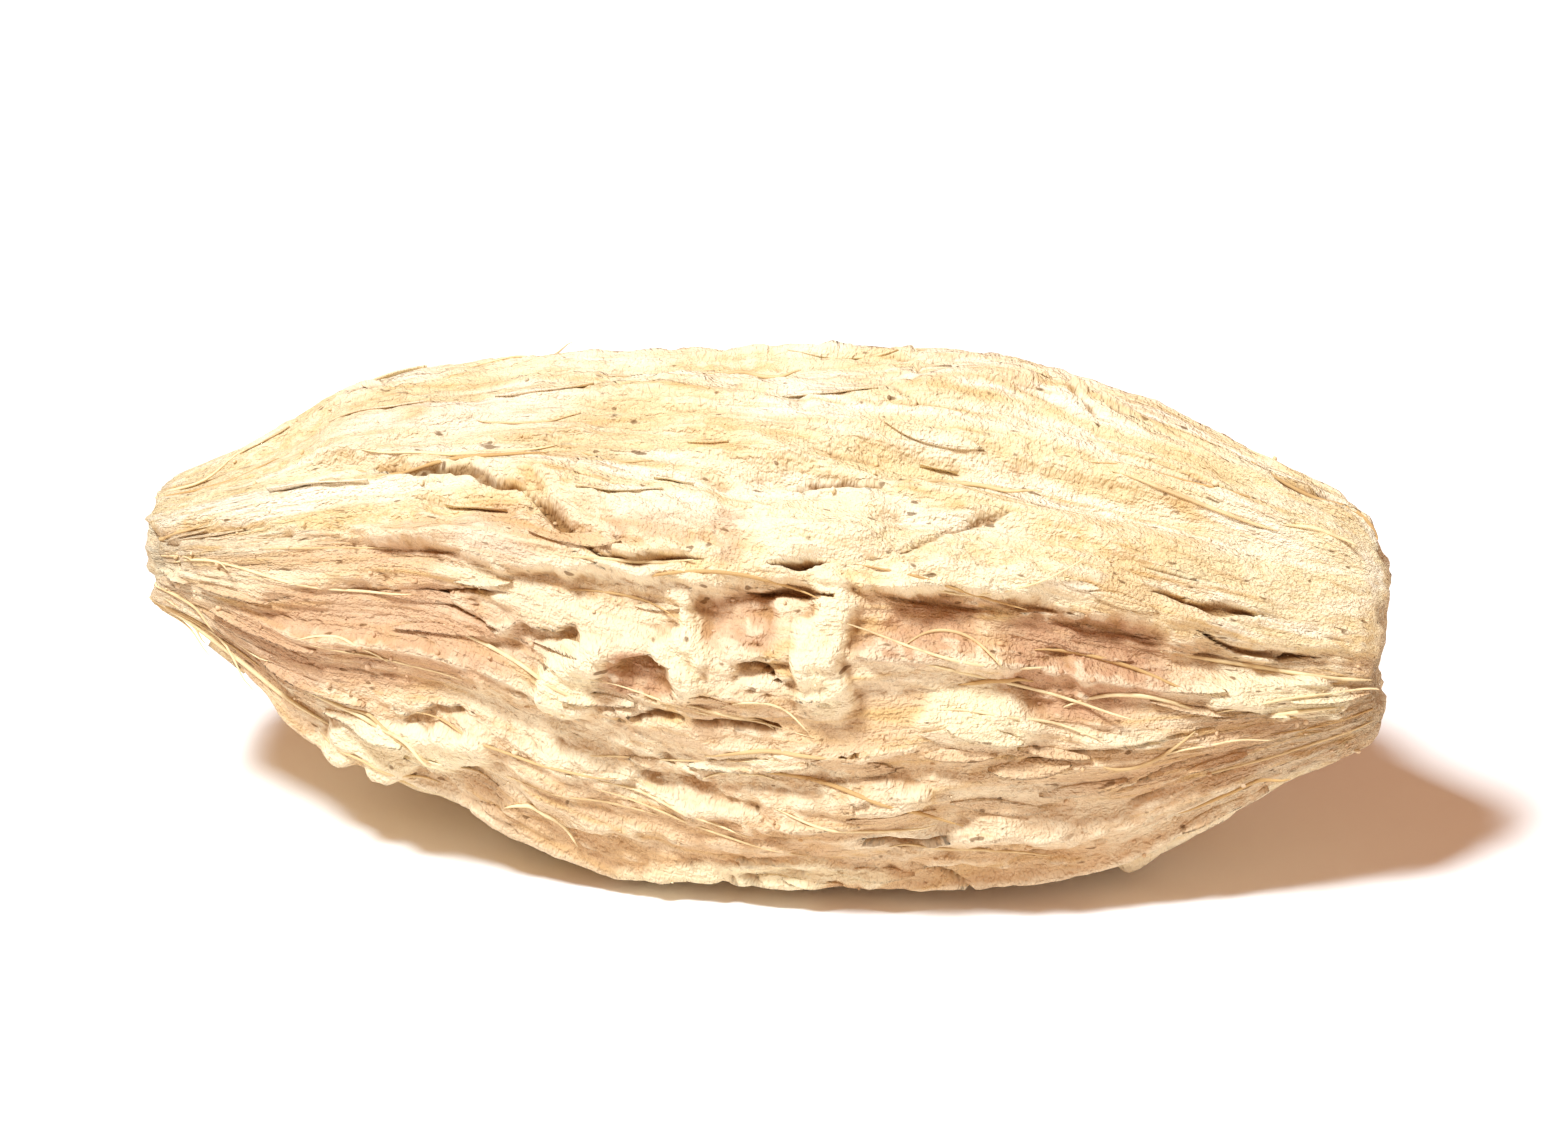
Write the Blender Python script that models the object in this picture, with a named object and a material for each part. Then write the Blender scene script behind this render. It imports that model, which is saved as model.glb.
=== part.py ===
"""A chunk of dried ginger root, cut and broken from the root and dried hard.

It lies on its flattest side. +X runs along its length and -Y is its broken front, where a long
ledge overhangs hollows and cross ribs. A strip of dried skin is left on its back.
"""
import math

import bmesh
import bpy
import numpy as np
from mathutils import Vector, noise

NAME = "ginger_root_chunk"
MM = 0.001

# Outlines along the length, as (x, value) in millimetres: heights first, then depths
LENGTH = 14.0
TOP = [
    (-7.0, 3.75), (-6.4, 3.9), (-5.8, 4.17), (-4.7, 4.67), (-3.1, 4.92), (-1.2, 5.28), (0.2, 5.42),
    (1.5, 5.42), (2.8, 5.32), (3.8, 5.1), (4.8, 4.86), (5.7, 4.64), (6.4, 4.48), (7.0, 4.35),
]
LEDGE = [(-7.0, 3.1), (-4.2, 3.8), (-1.0, 3.85), (2.2, 3.7), (4.3, 3.25), (7.0, 2.6)]
UNDERSIDE = [
    (-7.0, 2.15), (-6.4, 2.12), (-5.6, 1.68), (-5.2, 1.3), (-4.1, 0.9), (-3.1, 0.62), (-2.3, 0.1),
    (-1.6, -0.15), (3.3, -0.15), (4.0, 0.1), (4.7, 0.55), (5.6, 1.1), (6.3, 1.4), (7.0, 1.6),
]
FRONT = [(-7.0, -1.4), (-5.4, -2.2), (-3.0, -3.0), (0.4, -3.35), (3.2, -3.05), (5.4, -2.45), (7.0, -1.85)]
BACK = [(-7.0, 0.8), (-5.0, 2.1), (-2.4, 3.1), (0.8, 3.4), (3.2, 2.9), (4.6, 2.0), (5.8, 0.8), (7.0, -0.3)]
END_BLUNTNESS = 9
END_RADIUS = 1.3

# Corners of the cross-section from the crest round by the front: share of the depth from the
# front, the two heights that the corner lies between, and its share of the way up
CORNERS = [
    (0.50, "ledge", "top", 1.0),
    (0.24, "ledge", "top", 0.70),
    (0.04, "ledge", "top", 0.06),
    (0.01, "under", "ledge", 0.52),
    (0.11, "under", "ledge", 0.07),
    (0.50, "under", "ledge", 0.0),
    (0.86, "under", "top", 0.12),
    (1.00, "under", "top", 0.42),
    (0.84, "under", "top", 0.80),
]

# The broken front is laid out as seen from this direction, across and up from the middle of the foot
FRONT_TURN = math.radians(8)
FRONT_LIFT = math.radians(23)

# The long ledge on the front, as (across, up), how far it stands out there and how deep it is
# undercut, both as (across, depth)
LEDGE_EDGE = [
    (-7.0, 3.05), (-4.2, 2.9), (-2.1, 2.46), (0.5, 2.38), (1.2, 2.3), (2.8, 2.24), (4.2, 1.84), (6.4, 1.6),
]
LEDGE_LIP = [
    (-7.0, 0.06), (-5.0, 0.1), (-2.8, 0.17), (-1.0, 0.13), (0.6, 0.05), (1.4, 0.11), (3.2, 0.09), (4.6, 0.07),
    (7.0, 0.05),
]
LEDGE_THICK = 0.3
UNDERCUT = [
    (-7.0, 0.0), (-4.0, 0.06), (-2.0, 0.1), (-0.6, 0.16), (0.6, 0.05), (1.4, 0.07), (3.6, 0.06), (4.8, 0.05),
    (6.4, 0.0),
]
UNDERCUT_TALL = 1.3

# Hollows and ribs on the front: across, up, half width, half height, and depth or rise. A hollow
# is deepest under its upper edge, and its lower side has only a share of that depth
HOLLOWS = [
    (3.4, 1.74, 0.8, 0.32, 0.12),
    (3.15, 1.15, 0.34, 0.46, 0.15),
    (1.75, 1.95, 0.56, 0.26, 0.12),
    (-0.45, 2.02, 0.45, 0.28, 0.22),
    (-0.1, 1.44, 0.34, 0.13, 0.14),
    (-1.33, 1.36, 0.3, 0.2, 0.3),
    (-2.6, 1.78, 0.42, 0.15, 0.22),
    (-4.6, 1.95, 1.1, 0.35, 0.1),
    (-1.3, 0.12, 0.6, 0.12, 0.12),
    (-3.65, 0.9, 0.3, 0.1, 0.15),
    (5.4, 1.52, 0.7, 0.13, 0.14),
]
SHALLOW_SIDE = 0.3
RIBS = [
    (0.6, 1.75, 0.34, 0.72, 0.2),
    (0.5, 3.07, 0.58, 0.34, 0.12),
    (-0.95, 1.66, 0.17, 0.5, 0.12),
    (-2.2, 1.32, 0.34, 0.42, 0.14),
    (2.3, 1.02, 0.55, 0.32, 0.1),
    (-4.0, 0.6, 0.85, 0.2, 0.16),
    (2.1, 2.42, 0.85, 0.19, 0.12),
    (5.5, 1.16, 0.7, 0.2, 0.16),
    (-0.2, -0.78, 1.3, 0.12, 0.08),
    (3.85, 0.73, 0.42, 0.08, 0.06),
]

# Cracks on the front: (across, up) line, half width and depth
CRACKS = [
    ([(-4.4, 3.7), (-3.9, 3.61), (-3.3, 3.53), (-2.7, 3.4)], 0.06, 0.18),
    ([(-2.9, 3.48), (-2.7, 3.4), (-2.3, 3.05), (-2.0, 2.8), (-0.7, 2.69)], 0.045, 0.15),
    ([(4.2, 2.3), (4.7, 2.17), (5.4, 2.06)], 0.05, 0.18),
    ([(4.7, 1.86), (5.3, 1.65), (5.9, 1.6)], 0.045, 0.16),
    ([(1.2, 2.24), (2.0, 2.14), (3.0, 2.12), (4.2, 1.78)], 0.06, 0.08),
    ([(1.4, 2.72), (2.0, 3.0), (2.7, 3.19)], 0.06, 0.1),
    ([(5.2, 3.75), (6.0, 3.4), (6.8, 3.0)], 0.045, 0.14),
    ([(0.0, 2.62), (0.3, 2.6), (0.66, 2.61)], 0.05, 0.24),
    ([(-0.35, 2.27), (0.2, 2.3), (0.78, 2.27)], 0.05, 0.22),
    ([(-0.25, 1.56), (0.0, 1.44), (0.2, 1.3)], 0.05, 0.16),
    ([(-1.65, 0.93), (-1.2, 0.95), (-0.9, 0.93)], 0.04, 0.15),
    ([(-0.8, 0.86), (-0.2, 0.84), (0.35, 0.85)], 0.04, 0.15),
    ([(0.9, -0.34), (1.5, -0.37), (2.1, -0.37)], 0.045, 0.18),
    ([(0.25, 3.54), (0.7, 3.58), (1.25, 3.48)], 0.04, 0.12),
    ([(3.45, 0.6), (3.7, 0.58), (3.95, 0.6)], 0.035, 0.1),
]

# Upper left, a flap of the top layer stands over a lower plateau along this line
FLAP_EDGE = [(-5.6, 3.64), (-4.5, 3.78), (-3.3, 3.57), (-2.7, 3.44), (-2.3, 3.1), (-2.0, 2.84), (-0.7, 2.73)]
FLAP_STEP = 0.16

# Left tip, where the upper point and the lower knob part
NOTCH = (-7.1, 2.75, 0.45, 0.3, 0.14)

# Long ridges of the root's own layers
RIDGE_GAP = 0.95
RIDGE_HEIGHT = 0.18
RIDGE_LENGTH = 7.0
LUMP_SIZE = 2.4
LUMP_HEIGHT = 0.16

# Skin left on the back, from this angle to that one round the chunk, with the rings of old leaves
SKIN_FROM = math.radians(238)
SKIN_TO = math.radians(305)
SKIN_THICK = 0.1
RING_GAP = 2.3
RING_HEIGHT = 0.12
BUD_SCAR = (1.7, 2.9, 1.25)

# Foot: everything under this height is cut flat
FLOOR = 0.0

# Along the front the foot is set back under the lowest edge, which leaves a dark gap this tall
FOOT_GAP = 0.32
FOOT_SET_BACK = 0.9

# Middle of the chunk's length and depth in these outlines, which becomes its origin
MIDDLE = (0.03, 0.01)

# Half width of the narrowest crack that is cut
NARROWEST = 0.14

# How far the edges of hollows and ribs wander across and up, and over what distance
WANDER_ACROSS = 0.3
WANDER_UP = 0.14
WANDER_SIZE = (0.6, 0.6, 0.6)

# The ridges fade from this far along to the other, towards the tips
RIDGES_FROM = 4.2
RIDGES_TO = 7.2

# Mesh, with its columns closer together on the front
COLUMNS = 66
ROWS = 74
FRONT_MIDDLE = math.radians(80)
FRONT_DENSITY = 0.35


def outline(points, x):
    """A smooth curve through an outline's points, read at each x."""
    at, value = np.array(points).T
    slope = np.gradient(value, at)
    i = np.clip(np.searchsorted(at, x) - 1, 0, len(at) - 2)
    span = at[i + 1] - at[i]
    f = np.clip((x - at[i]) / span, 0, 1)
    start = (1 + 2 * f) * (1 - f) ** 2 * value[i] + f * (1 - f) ** 2 * span * slope[i]
    end = f * f * (3 - 2 * f) * value[i + 1] + f * f * (f - 1) * span * slope[i + 1]
    return start + end


def ramp(low, high, value):
    """0 at low, 1 at high and smooth between."""
    f = np.clip((value - low) / (high - low), 0, 1)
    return f * f * (3 - 2 * f)


def clouds(points, size, seed):
    """Smooth noise between -1 and 1, with lumps of the given size along x, y and z."""
    spread = points / np.array(size) + seed * 17.3
    return np.array([noise.noise(Vector(p)) for p in spread])


def oval(across, up, spot):
    """1 in the middle of an oval, falling to 0 just outside it."""
    far = ((across - spot[0]) / spot[2]) ** 2 + ((up - spot[1]) / spot[3]) ** 2
    return ramp(1.7, 0.3, far)


def above(across, up, line):
    """How far each place lies above a line, square to the line."""
    step = 0.02
    slope = (outline(line, across + step) - outline(line, across - step)) / (2 * step)
    return (up - outline(line, across)) / np.hypot(1, slope)


def groove(across, up, line, wide):
    """1 along a groove's line, falling to 0 beside it; the groove narrows to nothing at its ends."""
    inside = ramp(line[0][0] - 0.15, line[0][0] + 0.5, across)
    inside *= ramp(line[-1][0] + 0.15, line[-1][0] - 0.5, across)
    far = np.abs(above(across, up, line)) / (wide * inside + 1e-6)
    return ramp(1.6, 0.2, far) * ramp(0, 0.3, inside)


def base_form(along, turn):
    """Points of the plain chunk. along runs from -1 to 1 between its tips, turn goes once round it."""
    x = along * LENGTH / 2
    height = {"top": outline(TOP, x), "ledge": outline(LEDGE, x), "under": outline(UNDERSIDE, x)}
    front = outline(FRONT, x)
    depth = outline(BACK, x) - front
    corners = np.array(
        [
            (front + share * depth, height[low] + rise * (height[high] - height[low]))
            for share, low, high, rise in CORNERS
        ]
    )
    place = (turn / math.tau) % 1 * len(CORNERS)
    first = place.astype(int) % len(CORNERS)
    f = place - np.floor(place)
    each = np.arange(len(x))
    before, here, after, beyond = (
        corners[(first + step) % len(CORNERS), :, each].T for step in (-1, 0, 1, 2)
    )
    bend = 2 * before - 5 * here + 4 * after - beyond
    twist = 3 * here - before - 3 * after + beyond
    rim = here + 0.5 * f * (after - before + f * (bend + f * twist))
    middle = corners.mean(axis=0)
    y, z = middle + closing(along) * (rim - middle)
    return np.stack([x, y, z], axis=1)


def outward(along, turn):
    """Unit normals of the plain chunk, worked out from points close by."""
    step = 0.004
    low, high = np.clip(along - step, -1, 1), np.clip(along + step, -1, 1)
    lengthwise = base_form(high, turn) - base_form(low, turn)
    round_it = base_form(along, turn + step) - base_form(along, turn - step)
    normal = np.cross(round_it, lengthwise)
    size = np.linalg.norm(normal, axis=1, keepdims=True)
    tip = np.stack([np.sign(along), 0 * along, 0 * along], axis=1)
    return np.where(size > 1e-9, normal / np.maximum(size, 1e-9), tip)


def seen(point):
    """Where the view of the broken front sees each point: across and up."""
    x, y, z = point.T
    across = x * math.cos(FRONT_TURN) + y * math.sin(FRONT_TURN)
    back = y * math.cos(FRONT_TURN) - x * math.sin(FRONT_TURN)
    return across, back * math.sin(FRONT_LIFT) + z * math.cos(FRONT_LIFT)


def front_share(normal):
    """1 where the surface faces the view of the broken front, 0 where it faces away."""
    x, y, z = normal.T
    level = x * math.sin(FRONT_TURN) - y * math.cos(FRONT_TURN)
    return ramp(0.0, 0.3, level * math.cos(FRONT_LIFT) + z * math.sin(FRONT_LIFT))


def front_relief(across, up):
    """Rise of the ledge, its undercut, the hollows, ribs and flap of the broken front."""
    over = up - outline(LEDGE_EDGE, across)
    rise = outline(LEDGE_LIP, across) * ramp(-0.02, 0.12, over) * ramp(2.2 * LEDGE_THICK, LEDGE_THICK, over)
    rise -= outline(UNDERCUT, across) * ramp(0.02, -0.14, over) * ramp(-UNDERCUT_TALL, -0.35, over)
    for hollow in HOLLOWS:
        overhung = SHALLOW_SIDE + (1 - SHALLOW_SIDE) * ramp(-1.0, 0.7, (up - hollow[1]) / hollow[3])
        rise -= hollow[4] * overhung * oval(across, up, hollow)
    for rib in RIBS:
        rise += rib[4] * oval(across, up, rib)
    past = above(across, up, FLAP_EDGE)
    beside = ramp(-5.5, -4.4, across) * ramp(-0.4, -1.4, across)
    rise += FLAP_STEP * ramp(-0.06, 0.08, past) * ramp(1.3, 0.3, past) * beside
    return rise - NOTCH[4] * oval(across, up, NOTCH)


def crack_depth(across, up):
    """How deep the cracks of the broken front are cut."""
    return sum(deep * groove(across, up, line, max(wide, NARROWEST)) for line, wide, deep in CRACKS)


def ridges(point, along, turn):
    """Long low ridges that run from tip to tip and draw together there."""
    wander = turn + 0.16 * clouds(point, (4.0, 3.0, 3.0), 1)
    radius = 3.0 * closing(along)
    ring = np.stack([point[:, 0], radius * np.cos(wander), radius * np.sin(wander)], axis=1)
    crest = clouds(ring, (RIDGE_LENGTH, RIDGE_GAP, RIDGE_GAP), 2)
    return RIDGE_HEIGHT * (0.5 - 2.4 * np.abs(crest)) * ramp(RIDGES_TO, RIDGES_FROM, np.abs(point[:, 0]))


def skin_share(point, turn):
    """1 on the skin left on the back, 0 off it, with a ragged edge."""
    ragged = turn + 0.16 * clouds(point, (0.9, 0.9, 0.9), 5)
    wide = ramp(SKIN_FROM - 0.05, SKIN_FROM + 0.05, ragged) * ramp(SKIN_TO + 0.05, SKIN_TO - 0.05, ragged)
    return wide * ramp(6.3, 5.9, np.abs(point[:, 0] + 0.5))


def leaf_rings(point):
    """How far each place is from one leaf ring to the next: 0 just past a ring, rising to 1 at its edge."""
    x, y, z = point.T
    slant = x + 0.25 * z + 1.6 * clouds(point, (3.2, 4.0, 4.0), 6)
    return (slant / RING_GAP) % 1


def skin_relief(point):
    """Rise of the skin: the lifted edges of its leaf rings and the scar of a bud."""
    x, y, z = point.T
    ring = leaf_rings(point)
    tall = RING_HEIGHT * (0.7 + 0.9 * clouds(point, (0.9, 0.9, 0.9), 53))
    rise = SKIN_THICK + tall * ramp(0.4, 0.93, ring) * ramp(1.0, 0.9, ring)
    far = np.hypot(x - BUD_SCAR[0], z - BUD_SCAR[1]) / BUD_SCAR[2] + 0.1 * clouds(point, (0.5, 0.5, 0.5), 9)
    rim = 0.14 * ramp(0.25, 0.0, np.abs(far - 0.9))
    return rise * ramp(0.7, 1.0, far) + rim - 0.08 * ramp(0.9, 0.5, far)


def shaped(along, turn):
    """Points of the finished chunk."""
    point = base_form(along, turn)
    normal = outward(along, turn)
    across, up = seen(point)
    ragged_across = across + WANDER_ACROSS * clouds(point, WANDER_SIZE, 71)
    ragged_up = up + WANDER_UP * clouds(point, WANDER_SIZE, 72)
    rise = LUMP_HEIGHT * clouds(point, (1.6 * LUMP_SIZE, LUMP_SIZE, LUMP_SIZE), 3)
    rise += ridges(point, along, turn)
    rise += front_share(normal) * (front_relief(ragged_across, ragged_up) - crack_depth(across, up))
    rise += skin_share(point, turn) * skin_relief(point)
    place = point + rise[:, None] * normal
    set_back = ramp(FOOT_GAP, 0.3 * FOOT_GAP, point[:, 2]) * ramp(0.8, -2.0, point[:, 1])
    place[:, 1] += FOOT_SET_BACK * set_back
    place[:, :2] -= MIDDLE
    return place


def closing(along):
    """How wide the cross-section is along the length: 1 in the middle, rounding off to 0 at the tips."""
    return np.clip(1 - np.abs(along) ** END_BLUNTNESS, 0, 1) ** (1 / END_BLUNTNESS)


def even_rows(share):
    """Places along the length, spaced evenly over the blunt ends as well as the sides."""
    along = -np.cos(np.linspace(0, math.pi, 4001))
    path = np.hypot(np.diff(along) * LENGTH / 2, np.diff(closing(along)) * END_RADIUS)
    path = np.concatenate([[0], np.cumsum(path)])
    return np.interp(share * path[-1], path, along)


def chunk_mesh():
    """A ball whose poles are the tips of the chunk, drawn out to the chunk's shape."""
    mesh = bmesh.new()
    bmesh.ops.create_uvsphere(mesh, u_segments=COLUMNS, v_segments=ROWS, radius=1)
    x, y, z = np.array([v.co for v in mesh.verts]).T
    along = even_rows(np.arccos(np.clip(z, -1, 1)) / math.pi)
    even = np.arctan2(y, x)
    turn = (even - FRONT_DENSITY * np.sin(even - FRONT_MIDDLE)) % math.tau
    for vert, place in zip(mesh.verts, shaped(along, turn)):
        vert.co = Vector(place) * MM
    bmesh.ops.triangulate(mesh, faces=mesh.faces)
    bmesh.ops.recalc_face_normals(mesh, faces=mesh.faces)
    data = bpy.data.meshes.new(NAME)
    mesh.to_mesh(data)
    mesh.free()
    data.shade_smooth()
    return data


def root_material():
    """Pale, dry, powdery root."""
    material = bpy.data.materials.new("dried_root")
    material.use_nodes = True
    shader = material.node_tree.nodes["Principled BSDF"]
    shader.inputs["Base Color"].default_value = (0.74, 0.56, 0.33, 1)
    shader.inputs["Roughness"].default_value = 0.85
    shader.inputs["Metallic"].default_value = 0.0
    return material


def floor_cutter(collection):
    """A block below the foot, to cut it flat."""
    bpy.ops.mesh.primitive_cube_add(size=1)
    block = bpy.context.object
    block.name = "floor_cutter"
    block.scale = (2 * LENGTH * MM, 2 * LENGTH * MM, LENGTH * MM)
    block.location = (0, 0, (FLOOR - LENGTH / 2) * MM)
    block.hide_render = True
    block.display_type = "WIRE"
    for home in list(block.users_collection):
        home.objects.unlink(block)
    collection.objects.link(block)
    return block


def main():
    for old in list(bpy.data.objects):
        bpy.data.objects.remove(old)
    parts = bpy.data.collections.new("dried_ginger_root")
    cutters = bpy.data.collections.new("cutters")
    for collection in (parts, cutters):
        bpy.context.scene.collection.children.link(collection)

    chunk = bpy.data.objects.new(NAME, chunk_mesh())
    chunk.data.materials.append(root_material())
    parts.objects.link(chunk)
    cut = chunk.modifiers.new("flat_foot", "BOOLEAN")
    cut.operation = "DIFFERENCE"
    cut.object = floor_cutter(cutters)


main()
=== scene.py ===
"""The look of a chunk of dried ginger root: its fibrous surface, its colours, the light and the camera.

Lengths are in millimetres until a mesh is made, and the chunk's own frame is the CAD model's:
+X along its length, -Y towards its broken front, +Z up from the surface that it lies on. The light
and the camera are placed in metres.
"""

import math

import bmesh
import bpy
import numpy as np
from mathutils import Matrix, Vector, noise


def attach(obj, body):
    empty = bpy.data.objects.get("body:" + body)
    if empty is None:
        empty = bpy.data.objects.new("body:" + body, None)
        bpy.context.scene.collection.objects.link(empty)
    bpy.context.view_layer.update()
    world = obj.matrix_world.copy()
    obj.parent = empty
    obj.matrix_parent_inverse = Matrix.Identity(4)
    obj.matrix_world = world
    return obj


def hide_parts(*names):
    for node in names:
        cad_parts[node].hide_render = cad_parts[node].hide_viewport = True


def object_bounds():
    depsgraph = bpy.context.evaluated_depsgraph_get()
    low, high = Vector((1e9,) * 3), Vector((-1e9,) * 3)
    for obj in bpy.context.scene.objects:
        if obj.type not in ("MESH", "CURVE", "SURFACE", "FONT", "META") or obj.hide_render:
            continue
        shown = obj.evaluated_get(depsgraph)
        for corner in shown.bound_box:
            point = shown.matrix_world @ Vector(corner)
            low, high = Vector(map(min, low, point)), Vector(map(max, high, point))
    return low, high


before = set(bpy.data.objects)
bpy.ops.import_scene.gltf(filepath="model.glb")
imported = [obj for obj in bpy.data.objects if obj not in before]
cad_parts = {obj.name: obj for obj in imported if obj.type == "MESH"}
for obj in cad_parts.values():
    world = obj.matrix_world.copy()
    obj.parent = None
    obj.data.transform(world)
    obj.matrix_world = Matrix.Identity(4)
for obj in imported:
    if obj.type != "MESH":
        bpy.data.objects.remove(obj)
CAD_LOW, CAD_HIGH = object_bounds()

NODE = "ginger_root_chunk"
MM = 0.001

# Outlines along the length, as (x, value): heights first, then depths
LENGTH = 14.0
TOP = [
    (-7.0, 3.75), (-6.4, 3.9), (-5.8, 4.17), (-4.7, 4.67), (-3.1, 4.92), (-1.2, 5.28), (0.2, 5.42),
    (1.5, 5.42), (2.8, 5.32), (3.8, 5.1), (4.8, 4.86), (5.7, 4.64), (6.4, 4.48), (7.0, 4.35),
]
LEDGE = [(-7.0, 3.1), (-4.2, 3.8), (-1.0, 3.85), (2.2, 3.7), (4.3, 3.25), (7.0, 2.6)]
UNDERSIDE = [
    (-7.0, 2.15), (-6.4, 2.12), (-5.6, 1.68), (-5.2, 1.3), (-4.1, 0.9), (-3.1, 0.62), (-2.3, 0.1),
    (-1.6, -0.15), (3.3, -0.15), (4.0, 0.1), (4.7, 0.55), (5.6, 1.1), (6.3, 1.4), (7.0, 1.6),
]
FRONT = [
    (-7.0, -1.4), (-5.4, -2.2), (-3.0, -3.0), (0.4, -3.35), (3.2, -3.05), (5.4, -2.45), (7.0, -1.85),
]
BACK = [
    (-7.0, 0.8), (-5.0, 2.1), (-2.4, 3.1), (0.8, 3.4), (3.2, 2.9), (4.6, 2.0), (5.8, 0.8), (7.0, -0.3),
]
END_BLUNTNESS = 9
END_RADIUS = 1.3

# Radius of a round log about as thick as the chunk
ROUGH_RADIUS = 3.0

# Middle of the chunk's length and depth in these outlines, which is the CAD model's origin
MIDDLE = (0.03, 0.01)

# Corners of the cross-section from the crest round by the front: share of the depth from the
# front, the two heights that the corner lies between, and its share of the way up
CORNERS = [
    (0.50, "ledge", "top", 1.0),
    (0.24, "ledge", "top", 0.70),
    (0.04, "ledge", "top", 0.06),
    (0.01, "under", "ledge", 0.52),
    (0.11, "under", "ledge", 0.07),
    (0.50, "under", "ledge", 0.0),
    (0.86, "under", "top", 0.12),
    (1.00, "under", "top", 0.42),
    (0.84, "under", "top", 0.80),
]

# The broken front is laid out as seen from this direction, across and up from the middle of the foot
FRONT_TURN = math.radians(8)
FRONT_LIFT = math.radians(23)

# The long ledge on the front, as (across, up), how far it stands out there and how deep it is
# undercut, both as (across, depth). The undercut keeps its depth this far down, and ends that far down
LEDGE_EDGE = [
    (-7.0, 3.05), (-4.2, 2.9), (-2.1, 2.46), (0.5, 2.38), (1.2, 2.3), (2.8, 2.24), (4.2, 1.84), (6.4, 1.6),
]
LEDGE_LIP = [
    (-7.0, 0.06), (-5.0, 0.1), (-2.8, 0.17), (-1.0, 0.13), (0.6, 0.05), (1.4, 0.11), (3.2, 0.09),
    (4.6, 0.07), (7.0, 0.05),
]
LEDGE_THICK = 0.3
UNDERCUT = [
    (-7.0, 0.0), (-4.0, 0.06), (-2.0, 0.1), (-0.6, 0.16), (0.6, 0.05), (1.4, 0.07), (3.6, 0.06),
    (4.8, 0.05), (6.4, 0.0),
]
UNDERCUT_DEEP = 0.35
UNDERCUT_TALL = 1.3

# Hollows and ribs on the front: across, up, half width, half height, and depth or rise. A hollow
# is deepest under its upper edge, and its lower side has only a share of that depth
HOLLOWS = [
    (3.4, 1.74, 0.8, 0.32, 0.12),
    (3.15, 1.15, 0.34, 0.46, 0.15),
    (1.75, 1.95, 0.56, 0.26, 0.12),
    (-0.45, 2.02, 0.45, 0.28, 0.22),
    (-0.1, 1.44, 0.34, 0.13, 0.14),
    (-1.33, 1.36, 0.3, 0.2, 0.3),
    (-2.6, 1.78, 0.42, 0.15, 0.22),
    (-4.6, 1.95, 1.1, 0.35, 0.1),
    (-1.3, 0.12, 0.6, 0.12, 0.12),
    (-3.65, 0.9, 0.3, 0.1, 0.15),
    (5.4, 1.52, 0.7, 0.13, 0.14),
]
SHALLOW_SIDE = 0.3
RIBS = [
    (0.6, 1.75, 0.34, 0.72, 0.2),
    (0.5, 3.07, 0.58, 0.34, 0.12),
    (-0.95, 1.66, 0.17, 0.5, 0.12),
    (-2.2, 1.32, 0.34, 0.42, 0.14),
    (2.3, 1.02, 0.55, 0.32, 0.1),
    (-4.0, 0.6, 0.85, 0.2, 0.16),
    (2.1, 2.42, 0.85, 0.19, 0.12),
    (5.5, 1.16, 0.7, 0.2, 0.16),
    (-0.2, -0.78, 1.3, 0.12, 0.08),
    (3.85, 0.73, 0.42, 0.08, 0.06),
]

# Cracks on the front: (across, up) line, half width and depth
CRACKS = [
    ([(-4.4, 3.7), (-3.9, 3.61), (-3.3, 3.53), (-2.7, 3.4)], 0.06, 0.18),
    ([(-2.9, 3.48), (-2.7, 3.4), (-2.3, 3.05), (-2.0, 2.8), (-0.7, 2.69)], 0.045, 0.15),
    ([(4.2, 2.3), (4.7, 2.17), (5.4, 2.06)], 0.05, 0.18),
    ([(4.7, 1.86), (5.3, 1.65), (5.9, 1.6)], 0.045, 0.16),
    ([(1.2, 2.24), (2.0, 2.14), (3.0, 2.12), (4.2, 1.78)], 0.06, 0.08),
    ([(1.4, 2.72), (2.0, 3.0), (2.7, 3.19)], 0.06, 0.1),
    ([(5.2, 3.75), (6.0, 3.4), (6.8, 3.0)], 0.045, 0.14),
    ([(0.0, 2.62), (0.3, 2.6), (0.66, 2.61)], 0.05, 0.24),
    ([(-0.35, 2.27), (0.2, 2.3), (0.78, 2.27)], 0.05, 0.22),
    ([(-0.25, 1.56), (0.0, 1.44), (0.2, 1.3)], 0.05, 0.16),
    ([(-1.65, 0.93), (-1.2, 0.95), (-0.9, 0.93)], 0.04, 0.15),
    ([(-0.8, 0.86), (-0.2, 0.84), (0.35, 0.85)], 0.04, 0.15),
    ([(0.9, -0.34), (1.5, -0.37), (2.1, -0.37)], 0.045, 0.18),
    ([(0.25, 3.54), (0.7, 3.58), (1.25, 3.48)], 0.04, 0.12),
    ([(3.45, 0.6), (3.7, 0.58), (3.95, 0.6)], 0.035, 0.1),
]

# A crack or split this deep gets the darkest painted shade
DARK_DEPTH = 0.12

# Upper left, a flap of the top layer stands over a lower plateau along this line. Across, it rises
# between the first two places and falls between the last two
FLAP_EDGE = [
    (-5.6, 3.64), (-4.5, 3.78), (-3.3, 3.57), (-2.7, 3.44), (-2.3, 3.1), (-2.0, 2.84), (-0.7, 2.73),
]
FLAP_STEP = 0.16
FLAP_LEFT = (-5.5, -4.4)
FLAP_RIGHT = (-0.4, -1.4)

# Left tip, where the upper point and the lower knob part
NOTCH = (-7.1, 2.75, 0.45, 0.3, 0.14)

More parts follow.
